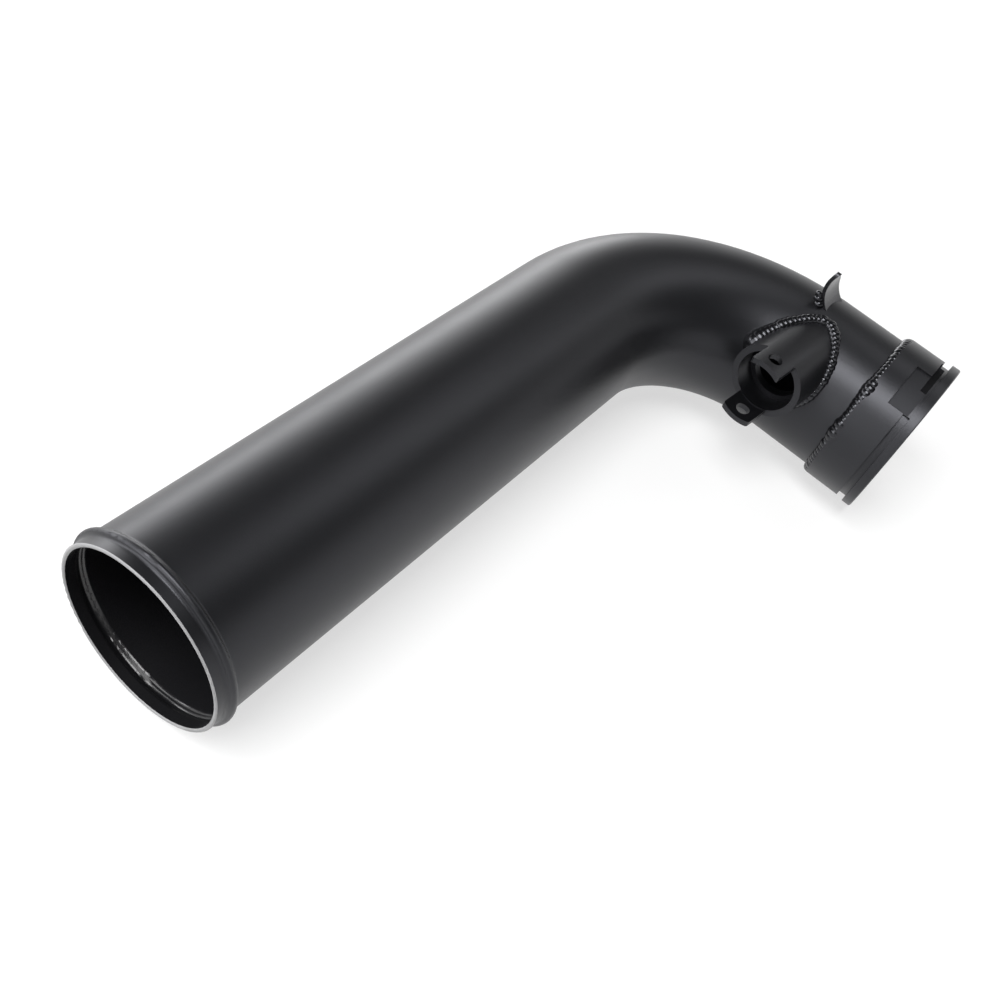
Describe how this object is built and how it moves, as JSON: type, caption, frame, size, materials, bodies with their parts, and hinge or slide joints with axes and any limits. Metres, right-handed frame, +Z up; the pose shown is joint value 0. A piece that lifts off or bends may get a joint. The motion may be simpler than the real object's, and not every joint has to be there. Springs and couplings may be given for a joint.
{
  "type": "resonator bypass pipe",
  "caption": "Bent powder-coated air pipe with a beaded hose end, a quick-connect collar, a side port with drilled tongues and a curved bracket tab, that takes a resonator's place.",
  "frame": {"origin": "centre of the hose end, on the pipe's centreline", "axes": "+X along the hose leg away from the hose end, -Y along the collar leg out of the collar's mouth, +Z up out of the bend plane on the side of the bracket tab"},
  "size_m": [0.3907, 0.1944, 0.0994],
  "materials": {
    "powder_coat": "satin black powder coat on aluminium",
    "coated_weld": "satin black powder coat on rippled weld"
  },
  "bodies": {
    "root": {"main_pipe": "powder_coat", "coupling_collar": "powder_coat", "collar_weld": "coated_weld", "port_stub": "powder_coat", "port_weld": "coated_weld", "bracket_tab": "powder_coat", "bracket_weld": "coated_weld"}
  },
  "joints": []
}
